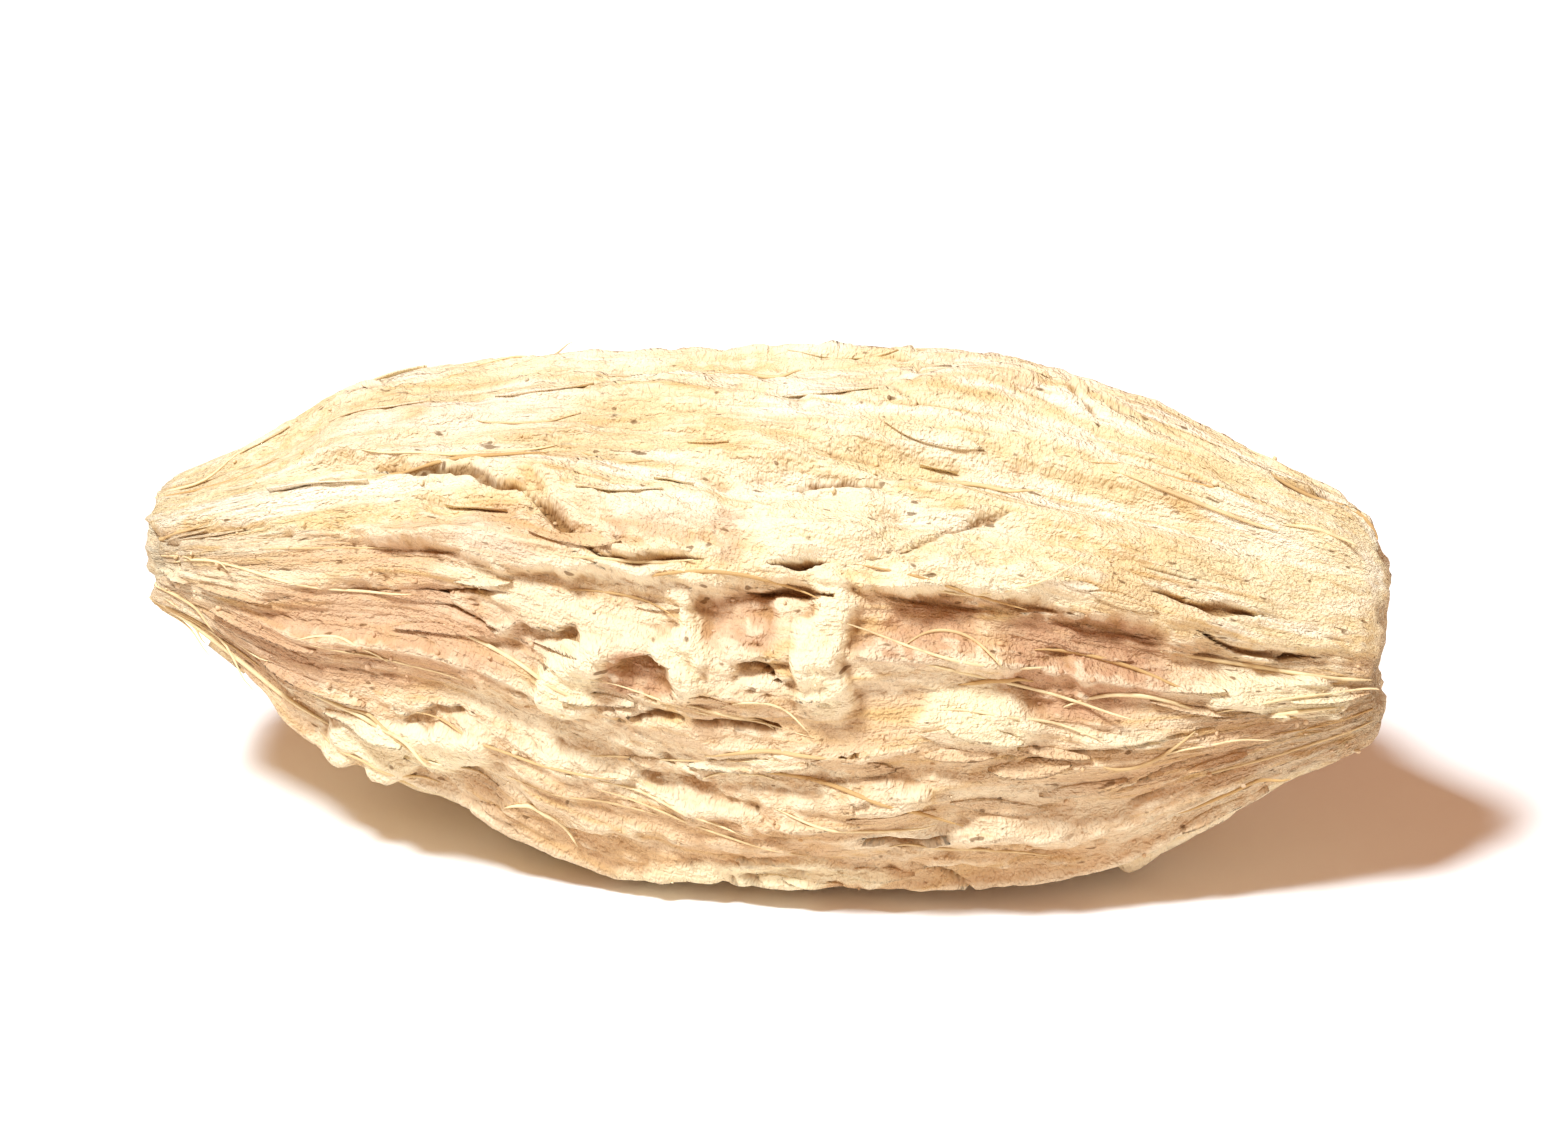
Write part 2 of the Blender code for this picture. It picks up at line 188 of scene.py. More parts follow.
# Patches of the front that are stained pinkish tan: across, up, half width, half height, strength
STAINS = [
    (-4.4, 1.8, 1.6, 0.55, 0.7),
    (3.4, 1.5, 0.8, 0.6, 1.0),
    (1.7, 1.9, 0.6, 0.3, 0.9),
    (-0.4, 2.0, 0.45, 0.3, 0.8),
    (-1.4, 1.4, 0.4, 0.25, 1.0),
    (-1.2, 2.95, 0.6, 0.15, 0.5),
    (-3.0, 2.9, 1.3, 0.25, 0.5),
    (-3.4, 4.1, 1.9, 0.45, 0.18),
    (-0.35, 2.95, 0.25, 0.3, 0.5),
    (4.6, 1.0, 0.7, 0.6, 0.1),
    (5.6, 0.6, 0.8, 0.4, 0.15),
]

# From here on, a layer of clouds is the size of its lumps, its height and its seed. Two seeds next to
# each other read the same noise this far apart
SEED_STEP = 17.3

# Layers that move the edges of hollows, ribs and stains, and then the lines of the ledge and the cracks
RAGGED_ACROSS = [(0.6, 0.3, 71), (0.24, 0.12, 74)]
RAGGED_UP = [(0.6, 0.14, 72), (0.2, 0.07, 73)]
WAVY_ACROSS = [(0.9, 0.1, 76)]
WAVY_UP = [(0.7, 0.06, 77), (0.22, 0.03, 78)]

# Cracks widen and narrow along their length, about this share of their width and never below that
CRACK_WIDTH = 0.9
CRACK_NARROWEST = 0.5
CRACK_WIDENING = [(0.4, 1.4, 75)]

# Big lumps of the whole chunk, and long ridges of the root's own layers. The ridges fade from one
# place along the chunk to another, towards the tips
LUMPS = [((3.84, 2.4, 2.4), 0.16, 3)]
RIDGE_SIZE = (7.0, 0.95, 0.95)
RIDGE_HEIGHT = 0.18
RIDGES_FADE = (7.2, 4.2)
LAYER_WANDER = [((4.0, 3.0, 3.0), 0.16, 1)]

# Skin left on the back, from this angle to that one round the chunk, and this far along each way
SKIN_FROM = math.radians(238)
SKIN_TO = math.radians(305)
SKIN_EDGE = 0.03
SKIN_MIDDLE = -0.5
SKIN_REACH = (6.3, 5.9)
SKIN_RAGGED = [(0.9, 0.16, 5), (0.3, 0.05, 7)]
SKIN_THICK = 0.1

# What the skin carries: the rings of old leaves, long wrinkles, and a bud's scar as x, z and radius
RING_GAP = 2.3
RING_SLANT = 0.25
RING_WANDER = [((3.2, 4.0, 4.0), 1.6, 6), (0.3, 0.08, 8)]
RING_HEIGHT = 0.12
WRINKLES = [((1.6, 0.34, 0.34), 0.09, 51), ((0.8, 0.15, 0.15), 0.045, 52)]
BUD_SCAR = (1.7, 2.9, 1.25)
SCAR_RIM = 0.14
SCAR_DEPTH = 0.08

# Along the front the foot is set back under the lowest edge, which leaves a dark gap this tall
FOOT_GAP = 0.32
FOOT_SET_BACK = 0.9

# Torn sheets of tissue: size of their patches, noise level of their edge, thickness and seed
SHEETS = [
    ((5.0, 1.0, 1.0), 0.10, 0.06, 11),
    ((3.6, 0.8, 0.8), 0.05, 0.05, 12),
    ((2.6, 0.55, 0.55), 0.12, 0.05, 13),
    ((1.8, 0.4, 0.4), 0.15, 0.045, 14),
    ((1.1, 0.28, 0.28), 0.18, 0.035, 15),
]
SHEET_EDGES = [((0.5, 0.2, 0.2), 0.1, 10), ((0.16, 0.1, 0.1), 0.05, 16)]

# The surface without any sheet lies this far in, so that the sheets bring it back out
UNDER_SHEETS = 0.08

# How sudden the sheets' edges are on the front and at the back
CRISP_EDGE = 0.04
SOFT_EDGE = 0.12

# Mealy patches are smooth and powdery; elsewhere the fibres stand out
MEALY = [((1.9, 1.1, 1.1), 1.0, 24), ((0.4, 0.3, 0.3), 0.3, 25)]
FIBRE_LAYERS = [((3.0, 0.42, 0.42), 0.03, 21), ((2.0, 0.2, 0.2), 0.03, 22), ((1.2, 0.12, 0.12), 0.018, 23)]
GRAIN_LAYERS = [((0.6, 0.4, 0.4), 0.03, 31), ((0.26, 0.2, 0.2), 0.03, 32), ((0.13, 0.12, 0.12), 0.02, 33)]

# Fibres and grains narrower than this fade at the back, to this share of their height
FINEST = 0.25
FINEST_AT_BACK = 0.3

# Thin splits along the layers: size and seed of their lines, size and seed of the patches that have
# them, the noise level at a split's edge and at its bottom, and its depth
SPLITS = [
    ((2.6, 0.75, 0.75), 41, (1.7, 1.3, 1.3), 42, (0.035, 0.005), 0.13),
    ((1.5, 0.42, 0.42), 43, (1.0, 0.9, 0.9), 44, (0.05, 0.01), 0.07),
]

# Broken ends: how far bundles of fibres broke off short, the bundles, and the holes in them
END_CUT = 0.12
BUNDLE_ENDS = [((2.0, 0.6, 0.6), 1.0, 61), ((1.0, 0.24, 0.24), 0.4, 62)]
BUNDLE_HOLES = [((1.0, 0.16, 0.16), 1.0, 63)]
HOLE_DEPTH = 0.03

# Where the line round the root's core lies on a broken end, as a share of the way out from its middle
CORE = 0.62
CORE_WAVES = [(0.6, 0.12, 64)]

# Streaks and blotches of colour
STREAKS = [((2.2, 0.32, 0.32), 1.0, 81), ((1.1, 0.15, 0.15), 0.4, 82)]
BLOTCHES = [((1.6, 1.3, 1.3), 1.0, 83), ((0.6, 0.5, 0.5), 0.4, 84)]

# Mesh of the body, with its columns closer together on the front
COLUMNS = 370
ROWS = 266
FRONT_MIDDLE = math.radians(80)
FRONT_DENSITY = 0.32

# How many times the relief is averaged with its neighbours to find small dips and wide hollows, which get
# painted shade, and small crests, which get a painted highlight
DIP_BLUR = 6
HOLLOW_BLUR = 60

# What the root's material reads at the vertices of the body, flakes and crumbs alike
SHARED_FIELDS = ("grain", "torn", "skin", "stain", "pale", "mealy", "streak", "blotch", "shaded")

# How far along the chunk loose pieces are scattered, and how far they may reach past its CAD box
SCATTER_ALONG = 0.97
BOX_SPARE = 0.1

# Loose fibres: how many, the points along each and round it, their length and radius, and how far
# the free end rises for each mm of length
FIBRES = 70
FIBRE_POINTS = 20
FIBRE_SIDES = 5
FIBRE_LENGTH = (0.6, 2.6)
FIBRE_RADIUS = (0.012, 0.028)
FIBRE_LIFT = 0.2

# Thin flakes that peel along the layers: how many, the points along and across each, half their
# length, their width as a share of that, and how far they lie off the surface and lift at most
FLAKES = 70
FLAKE_LONG = 14
FLAKE_WIDE = 5
FLAKE_THICK = 0.022
FLAKE_LENGTH = (0.2, 0.7)
FLAKE_WIDTH = (0.1, 0.28)
FLAKE_GAP = 0.02
FLAKE_LIFT = 0.08

# Crumbs of dried starch: how many, the smallest radius and how much bigger the biggest one's is
CRUMBS = 500
CRUMB_RADIUS = 0.012
CRUMB_SPREAD = 0.022

# Colours, as web codes
COLOURS = {
    "cream": "E0CB9D",
    "pale cream": "EDE1C6",
    "cream blotch": "DDBE88",
    "torn": "D3B48C",
    "pale torn": "E3CEAB",
    "torn blotch": "D1AC82",
    "fibre": "CAA167",
    "bundle": "D1AB6D",
    "powder": "E9DAB8",
    # Painted shade low on the front, near the floor
    "low front shade": "C7A074",
    "stain": "BF9470",
    "rib": "EDDDB5",
    # Painted shade in wide hollows and in small dips
    "hollow_shade": "BD8E62",
    "dip": "A67843",
    # Painted shade in cracks, splits and the bundles' holes, and the root's own brown along the core line
    "crack": "8E6334",
    # Painted highlight on small crests
    "crest": "EBDAB9",
    "cut bundle": "F2DFBC",
    "cut tissue": "E2C195",
    "speck": "6E4A22",
    "bark": "9C7A55",
    "pale bark": "BC9A70",
    "bark mottle": "876444",
    "bark blotch": "C7AC86",
    # Painted shade in the skin's wrinkles, and a painted highlight on its crests
    "bark dip shade": "5D4129",
    "bark crest highlight": "D2B88F",
    "past a ring": "4F3520",
    "ring": "D0B489",
    "strand": "C4A06A",
    "pale strand": "E9D6A8",
    "strand mottle": "B48A56",
    "floor": "FAF8F5",
}

# Depth of the finest grain, which is left to the material, in metres
BUMP_DEPTH = 0.00006

# The camera's lens in millimetres, and the width of what it sees at the chunk in metres
LENS = 300
FRAME_WIDTH = 0.0172

# Warm light from all round
SURROUNDINGS = (1, 0.51, 0.28, 1)
SURROUNDINGS_STRENGTH = 0.5


def outline(points, x):
    """A smooth curve through an outline's points, read at each x."""
    at, value = np.array(points).T
    slope = np.gradient(value, at)
    i = np.clip(np.searchsorted(at, x) - 1, 0, len(at) - 2)
    span = at[i + 1] - at[i]
    f = np.clip((x - at[i]) / span, 0, 1)
    start = (1 + 2 * f) * (1 - f) ** 2 * value[i] + f * (1 - f) ** 2 * span * slope[i]
    end = f * f * (3 - 2 * f) * value[i + 1] + f * f * (f - 1) * span * slope[i + 1]
    return start + end


def ramp(low, high, value):
    """0 at low, 1 at high and smooth between."""
    f = np.clip((value - low) / (high - low), 0, 1)
    return f * f * (3 - 2 * f)


def clouds(points, size, seed):
    """Smooth noise between -1 and 1, with lumps of the given size, one number or one each for x, y, z."""
    spread = points / np.array(size) + seed * SEED_STEP
    return np.fromiter((noise.noise(place) for place in spread.tolist()), float, len(spread))


def layered(points, layers):
    """Layers of clouds, each with its own height, added up."""
    return sum(height * clouds(points, size, seed) for size, height, seed in layers)


def oval(across, up, middle_across, middle_up, half_wide, half_tall):
    """1 in the middle of an oval with steep sides, falling to 0 just outside it."""
    far = np.abs((across - middle_across) / half_wide) ** 3 + np.abs((up - middle_up) / half_tall) ** 3
    return ramp(1.8, 0.4, far)


def ovals(across, up, spots):
    """Ovals added up, each with its own strength."""
    return sum(strength * oval(across, up, *spot) for *spot, strength in spots)


def above(across, up, line):
    """How far each place lies above a line, square to the line."""
    step = 0.02
    slope = (outline(line, across + step) - outline(line, across - step)) / (2 * step)
    return (up - outline(line, across)) / np.hypot(1, slope)


def groove(across, up, line, wide):
    """1 along a groove's line, falling to 0 beside it; the groove narrows to nothing at its ends."""
    inside = ramp(line[0][0] - 0.15, line[0][0] + 0.5, across)
    inside *= ramp(line[-1][0] + 0.15, line[-1][0] - 0.5, across)
    far = np.abs(above(across, up, line)) / (wide * inside + 1e-6)
    return ramp(1.6, 0.2, far) * ramp(0, 0.3, inside)


def closing(along):
    """How wide the cross-section is along the length: 1 in the middle, rounding off to 0 at the tips."""
    return np.clip(1 - np.abs(along) ** END_BLUNTNESS, 0, 1) ** (1 / END_BLUNTNESS)


def even_rows(share):
    """Places along the length, spaced evenly over the blunt ends as well as the sides."""
    along = -np.cos(np.linspace(0, math.pi, 4001))
    path = np.hypot(np.diff(along) * LENGTH / 2, np.diff(closing(along)) * END_RADIUS)
    path = np.concatenate([[0], np.cumsum(path)])
    return np.interp(share * path[-1], path, along)


def base_form(along, turn):
    """Points of the plain chunk. along runs from -1 to 1 between its tips, turn goes once round it."""
    x = along * LENGTH / 2
    height = {"top": outline(TOP, x), "ledge": outline(LEDGE, x), "under": outline(UNDERSIDE, x)}
    front = outline(FRONT, x)
    depth = outline(BACK, x) - front
    corners = np.array(
        [
            (front + share * depth, height[low] + rise * (height[high] - height[low]))
            for share, low, high, rise in CORNERS
        ]
    )
    place = (turn / math.tau) % 1 * len(CORNERS)
    first = place.astype(int) % len(CORNERS)
    f = place - np.floor(place)
    each = np.arange(len(x))
    before, here, after, beyond = (
        corners[(first + step) % len(CORNERS), :, each].T for step in (-1, 0, 1, 2)
    )
    bend = 2 * before - 5 * here + 4 * after - beyond
    twist = 3 * here - before - 3 * after + beyond
    rim = here + 0.5 * f * (after - before + f * (bend + f * twist))
    middle = corners.mean(axis=0)
    y, z = middle + closing(along) * (rim - middle)
    return np.stack([x, y, z], axis=1)


def outward(along, turn):
    """Unit normals of the plain chunk, worked out from points close by."""
    step = 0.004
    low, high = np.clip(along - step, -1, 1), np.clip(along + step, -1, 1)
    lengthwise = base_form(high, turn) - base_form(low, turn)
    round_it = base_form(along, turn + step) - base_form(along, turn - step)
    normal = np.cross(round_it, lengthwise)
    size = np.linalg.norm(normal, axis=1, keepdims=True)
    tip = np.stack([np.sign(along), 0 * along, 0 * along], axis=1)
    return np.where(size > 1e-9, normal / np.maximum(size, 1e-9), tip)


def seen(point):
    """Where the view of the broken front sees each point: across and up."""
    x, y, z = point.T
    across = x * math.cos(FRONT_TURN) + y * math.sin(FRONT_TURN)
    back = y * math.cos(FRONT_TURN) - x * math.sin(FRONT_TURN)
    return across, back * math.sin(FRONT_LIFT) + z * math.cos(FRONT_LIFT)


def front_share(normal):
    """1 where the surface faces the view of the broken front, 0 where it faces away."""
    x, y, z = normal.T
    level = x * math.sin(FRONT_TURN) - y * math.cos(FRONT_TURN)
    return ramp(0.0, 0.3, level * math.cos(FRONT_LIFT) + z * math.sin(FRONT_LIFT))


def ledge_relief(across, up):
    """Rise of the ledge's lip on the front, and of the undercut below it."""
    over = up - outline(LEDGE_EDGE, across)
    lip = ramp(-0.02, 0.08, over) * ramp(1.9 * LEDGE_THICK, 0.9 * LEDGE_THICK, over)
    under = ramp(0.02, -0.06, over) * ramp(-UNDERCUT_TALL, -UNDERCUT_DEEP, over)
    return outline(LEDGE_LIP, across) * lip - outline(UNDERCUT, across) * under


def hollow_depth(across, up):
    """How deep the hollows of the front are, each with its deepest side at the top."""
    depth = 0
    for *spot, deep in HOLLOWS:
        overhung = ramp(-1.0, 0.7, (up - spot[1]) / spot[3])
        depth += deep * (SHALLOW_SIDE + (1 - SHALLOW_SIDE) * overhung) * oval(across, up, *spot)
    return depth


def flap_rise(across, up):
    """Rise of the flap at the upper left, a sudden step along its edge that fades above it."""
    past = above(across, up, FLAP_EDGE)
    beside = ramp(*FLAP_LEFT, across) * ramp(*FLAP_RIGHT, across)
    return FLAP_STEP * ramp(-0.05, 0.05, past) * ramp(1.3, 0.3, past) * beside


def front_relief(across, up):
    """Rise of everything on the broken front but its cracks."""
    rise = ledge_relief(across, up) - hollow_depth(across, up) + ovals(across, up, RIBS)
    return rise + flap_rise(across, up) - ovals(across, up, [NOTCH])


def crack_depth(point, across, up):
    """How deep the cracks of the broken front are cut."""
    share = np.maximum(CRACK_WIDTH + layered(point, CRACK_WIDENING), CRACK_NARROWEST)
    return sum(deep * groove(across, up, line, wide * share) for line, wide, deep in CRACKS)


def girth(along):
    """Size of the cross-section along the length, as a share of its size in the middle."""
    x = along * LENGTH / 2
    tall, middle_tall = (outline(TOP, at) - outline(UNDERSIDE, at) for at in (x, 0 * x))
    return closing(along) * tall / middle_tall


def grain_space(point, along, turn):
    """Coordinates that follow the root's layers: along the chunk, and round it."""
    wander = turn + layered(point, LAYER_WANDER)
    radius = ROUGH_RADIUS * closing(along)
    return np.stack([point[:, 0], radius * np.cos(wander), radius * np.sin(wander)], axis=1)


def ridges(grain):
    """Long low ridges that run from tip to tip and draw together there."""
    crest = np.abs(clouds(grain, RIDGE_SIZE, 2))
    return RIDGE_HEIGHT * (0.5 - 2.4 * crest) * ramp(*RIDGES_FADE, np.abs(grain[:, 0]))


def skin_share(point, turn):
    """1 on the skin left on the back, 0 off it, with a ragged edge."""
    ragged = turn + layered(point, SKIN_RAGGED)
    inside = ramp(SKIN_FROM - SKIN_EDGE, SKIN_FROM + SKIN_EDGE, ragged)
    inside *= ramp(SKIN_TO + SKIN_EDGE, SKIN_TO - SKIN_EDGE, ragged)
    return inside * ramp(*SKIN_REACH, np.abs(point[:, 0] - SKIN_MIDDLE))


def leaf_rings(point):
    """How far each place is from one leaf ring to the next: 0 just past a ring, rising to 1 at its edge."""
    x, y, z = point.T
    slant = x + RING_SLANT * z + layered(point, RING_WANDER)
    return (slant / RING_GAP) % 1


def skin_relief(point, grain):
    """Rise of the skin: its long wrinkles, the lifted edges of its leaf rings and the scar of a bud."""
    x, y, z = point.T
    ring = leaf_rings(point)
    tall = RING_HEIGHT * (0.7 + 0.9 * clouds(point, 0.9, 53))
    rise = SKIN_THICK + tall * ramp(0.4, 0.93, ring) * ramp(1.0, 0.94, ring)
    off_ring = ramp(0.0, 0.15, ring) * ramp(1.0, 0.85, ring)
    for size, height, seed in WRINKLES:
        rise += height * (0.35 - 2 * np.abs(clouds(grain, size, seed))) * off_ring
    scar_x, scar_z, scar_radius = BUD_SCAR
    far = np.hypot(x - scar_x, z - scar_z) / scar_radius + 0.1 * clouds(point, 0.5, 9)
    rim = SCAR_RIM * ramp(0.2, 0.0, np.abs(far - 0.9))
    return rise * ramp(0.7, 1.0, far) + rim - SCAR_DEPTH * ramp(0.9, 0.5, far)


def sheet_relief(grain, front):
    """Overlapping torn sheets of tissue, each with a ragged edge that is crisp on the front."""
    edge = SOFT_EDGE + (CRISP_EDGE - SOFT_EDGE) * front
    ragged = layered(grain, SHEET_EDGES)
    rise = np.full(len(grain), -UNDER_SHEETS)
    for size, level, thick, seed in SHEETS:
        rise += thick * ramp(-1, 1, (clouds(grain, size, seed) - level + ragged) / edge)
    return rise


def fibre_relief(grain, mealy, front):
    """Rise of the long fibres and of the fine grains between them, and 1 along each bundle of fibres.

    The finest of them fade at the back, where the mesh is coarser.
    """
    fine_share = FINEST_AT_BACK + (1 - FINEST_AT_BACK) * front
    widest = FIBRE_LAYERS[0][0][1]
    rise = np.zeros(len(grain))
    bundle = np.zeros(len(grain))
    for size, height, seed in FIBRE_LAYERS:
        far = np.abs(clouds(grain, size, seed))
        kept = 1 if size[1] > FINEST else fine_share
        rise += height * kept * (0.5 - 2 * far) * (1.15 - 0.75 * mealy)
        bundle = np.maximum(bundle, ramp(0.09, 0.02, far) * size[1] / widest)
    for size, height, seed in GRAIN_LAYERS:
        kept = 1 if size[1] > FINEST else fine_share
        rise += height * kept * clouds(grain, size, seed) * (0.6 + 0.7 * mealy)
    return rise, bundle * (1 - 0.8 * mealy)


def split_depth(grain):
    """Thin splits that follow the layers."""
    depth = 0
    for size, seed, patch_size, patch_seed, edge, deep in SPLITS:
        line = ramp(*edge, np.abs(clouds(grain, size, seed)))
        depth += deep * line * ramp(0.1, 0.35, clouds(grain, patch_size, patch_seed))
    return depth


def end_cut(point, normal, along):
    """1 on the blunt ends, how far they are cut back where bundles of fibres broke off, and their marks.

    The marks are the holes of the bundles and the brown line round the root's core.
    """
    cap = ramp(0.45, 0.9, np.abs(normal[:, 0]))
    short = ramp(-0.35, 0.35, layered(point, BUNDLE_ENDS))
    holes = ramp(0.2, 0.45, layered(point, BUNDLE_HOLES))
    core_line = ramp(0.05, 0.0, np.abs(closing(along) + layered(point, CORE_WAVES) - CORE))
    marks = cap * np.maximum(holes, core_line)
    return cap, cap * END_CUT * short + HOLE_DEPTH * marks, marks


def foot_set_back(point):
    """How far the foot is set back under the front."""
    low = ramp(FOOT_GAP, 0.3 * FOOT_GAP, point[:, 2])
    return FOOT_SET_BACK * low * ramp(0.8, -2.0, point[:, 1])


def surface(along, turn):
    """The chunk's surface at each place: points, normals and what the materials need to know."""
    point = base_form(along, turn)
    normal = outward(along, turn)
    grain = grain_space(point, along, turn)
    across, up = seen(point)
    ragged_across = across + layered(point, RAGGED_ACROSS)
    ragged_up = up + layered(point, RAGGED_UP)
    across = across + layered(point, WAVY_ACROSS)
    up = up + layered(point, WAVY_UP)
    front = front_share(normal)
    skin = skin_share(point, turn)
    mealy = ramp(-0.15, 0.25, layered(grain, MEALY))
    fibre_rise, bundle = fibre_relief(grain, mealy, front)
    crack = front * crack_depth(point, across, up)
    split = (1 - skin) * split_depth(grain) * (1 - 0.7 * mealy) * ramp(0.0, 0.5, point[:, 2])
    cap, cut_back, marks = end_cut(point, normal, along)

    rise = layered(point, LUMPS) + ridges(grain)
    rise += front * front_relief(ragged_across, ragged_up)
    rise += skin * skin_relief(point, grain)
    rise += girth(along) * ((1 - skin) * sheet_relief(grain, front) - split + fibre_rise) - crack
    place = point + rise[:, None] * normal
    place[:, 0] -= np.sign(point[:, 0]) * cut_back
    place[:, 1] += foot_set_back(point)
    place[:, :2] -= MIDDLE
    place[:, 2] = np.maximum(place[:, 2], 0)
    stain = ovals(ragged_across, ragged_up, STAINS)
    pale = sum(oval(ragged_across, ragged_up, *rib) for *rib, _ in RIBS)
    return {
        "along": along,
        "place": place,
        "normal": normal,
        "grain": grain,
        "rise": rise,
        "torn": front * ramp(0.1, -0.1, up - outline(LEDGE_EDGE, across)),
        "skin": skin,
        # Painted shade in cracks and splits, darker the deeper they are; the marks on the broken ends add
        # painted shade in the bundles' holes and the real brown line round the core
        "crack": np.clip((crack + split) / DARK_DEPTH + 0.6 * marks, 0, 1),
        "stain": front * np.clip(stain, 0, 1),
        "pale": front * np.clip(pale, 0, 1),
        "mealy": mealy,
        "bundle": bundle,
        "ring": leaf_rings(point),
        "cap": cap,
        # Painted shade: the front darkens towards the floor
        "shaded": 0.5 * front * ramp(1.5, 0.4, point[:, 2]),
        "streak": layered(grain, STREAKS),
        "blotch": layered(grain, BLOTCHES),
    }


def grid_of(polar, even):
    """The index of each vertex by row and column, without the two tips."""
    row = np.rint(polar / math.pi * ROWS).astype(int)
    column = np.rint(even / math.tau * COLUMNS).astype(int) % COLUMNS
    grid = np.zeros((ROWS + 1, COLUMNS), int)
    grid[row, column] = np.arange(len(polar))
    return grid[1:-1]


def blurred(field, grid, times):
    """A field averaged with its neighbours, over and over."""
    sheet = field[grid]
    for _ in range(times):
        sheet = (sheet + np.roll(sheet, 1, axis=1) + np.roll(sheet, -1, axis=1)) / 3
        sheet[1:-1] = (sheet[2:] + sheet[1:-1] + sheet[:-2]) / 3
    result = field.copy()
    result[grid] = sheet
    return result


def keep(data, name, values):
    """Stores one value or vector for each vertex, for the material to read."""
    values = np.asarray(values, dtype=np.float32)
    kind, field = ("FLOAT", "value") if values.ndim == 1 else ("FLOAT_VECTOR", "vector")
    layer = data.attributes.new(name, kind, "POINT")
    layer.data.foreach_set(field, values.ravel())


def body():
    """The whole chunk as one mesh, with what its material needs kept at each vertex."""
    mesh = bmesh.new()
    bmesh.ops.create_uvsphere(mesh, u_segments=COLUMNS, v_segments=ROWS, radius=1)
    x, y, z = np.array([v.co for v in mesh.verts]).T
    polar = np.arccos(np.clip(z, -1, 1))
    even = np.arctan2(y, x)
    along = even_rows(polar / math.pi)
    turn = (even - FRONT_DENSITY * np.sin(even - FRONT_MIDDLE)) % math.tau
    grid = grid_of(polar, even)

    made = surface(along, turn)
    for vert, spot in zip(mesh.verts, made["place"]):
        vert.co = Vector(spot) * MM
    bmesh.ops.recalc_face_normals(mesh, faces=mesh.faces)
    data = bpy.data.meshes.new("chunk_surface")
    mesh.to_mesh(data)
    mesh.free()
    data.shade_smooth()
    for name in SHARED_FIELDS + ("crack", "bundle", "ring", "cap"):
        keep(data, name, made[name])
    # Relief against its blurred self, for painted shade in dips and hollows and a painted highlight on
    # crests, faded at the tips
    off_tips = ramp(6.9, 6.3, np.abs(made["place"][:, 0]))
    for name, times in (("dip", DIP_BLUR), ("hollow_shade", HOLLOW_BLUR)):
        keep(data, name, off_tips * (made["rise"] - blurred(made["rise"], grid, times)))
    return bpy.data.objects.new("chunk_surface", data)


def places(random, wanted, tries, spread, chance):
    """Random places on the chunk, most of them on its front: along and turn, at most as many as wanted.

    A place is kept by chance, which is higher on some parts of the surface than on others.
    """
    along = random.uniform(-SCATTER_ALONG, SCATTER_ALONG, tries)
    turn = (FRONT_MIDDLE + spread * random.normal(0, 1, tries)) % math.tau
    made = surface(along, turn)
    chosen = np.flatnonzero(random.uniform(0, 1, tries) < chance(made))[:wanted]
    return along[chosen], turn[chosen]


def smoothed(points, *axes):
    """Rows of points, each averaged with those beside it along each of the axes, three times over."""
    for _ in range(3):
        for axis in axes:
            rows = np.moveaxis(points, axis, 0)
            rows[1:-1] = (rows[2:] + rows[1:-1] + rows[:-2]) / 3
    return points


def within_box(points):
    """Which pieces, as (piece, point, 3), stay in the CAD model's box and above the floor."""
    low, high = np.array(CAD_LOW) / MM - BOX_SPARE, np.array(CAD_HIGH) / MM + BOX_SPARE
    low[2] = 0
    return ((points >= low) & (points <= high)).all(axis=(1, 2))


def loose_piece(name, verts, faces):
    """A smooth-shaded mesh from points in millimetres and its faces."""
    data = bpy.data.meshes.new(name)
    data.from_pydata((verts * MM).tolist(), [], faces)
    data.shade_smooth()
    return bpy.data.objects.new(name, data)


def tubes(path, lift_side, radius):
    """Closed thin tubes round paths: their points and their faces."""
    count, points = path.shape[:2]
    ahead = np.gradient(path, axis=1)
    ahead /= np.linalg.norm(ahead, axis=2, keepdims=True)
    side = np.cross(ahead, lift_side)
    side /= np.linalg.norm(side, axis=2, keepdims=True)
    other = np.cross(side, ahead)
    angle = np.arange(FIBRE_SIDES) * math.tau / FIBRE_SIDES
    ring = side[:, :, None] * np.cos(angle)[:, None] + other[:, :, None] * np.sin(angle)[:, None]
    verts = path[:, :, None] + ring * radius[:, :, None, None]
    first = (np.arange(count * points) * FIBRE_SIDES).reshape(count, points)
    faces = []
    for start in first:
        for here, after in zip(start[:-1], start[1:]):
            for k in range(FIBRE_SIDES):
                beside = (k + 1) % FIBRE_SIDES
                faces.append((here + k, here + beside, after + beside, after + k))
        faces.append(tuple(start[0] + k for k in reversed(range(FIBRE_SIDES))))
        faces.append(tuple(start[-1] + k for k in range(FIBRE_SIDES)))
    return verts.reshape(-1, 3), faces


def fibre_chance(made):
    """How likely a fibre is: most on torn tissue, at cracks and at the ends, none on skin or low down."""
    chance = 0.1 + 0.6 * made["torn"] + 0.5 * made["crack"]
    chance += 0.2 * ramp(0.75, 0.95, np.abs(made["along"]))
    return chance * (1 - made["skin"]) * ramp(0.4, 1.2, made["place"][:, 2])


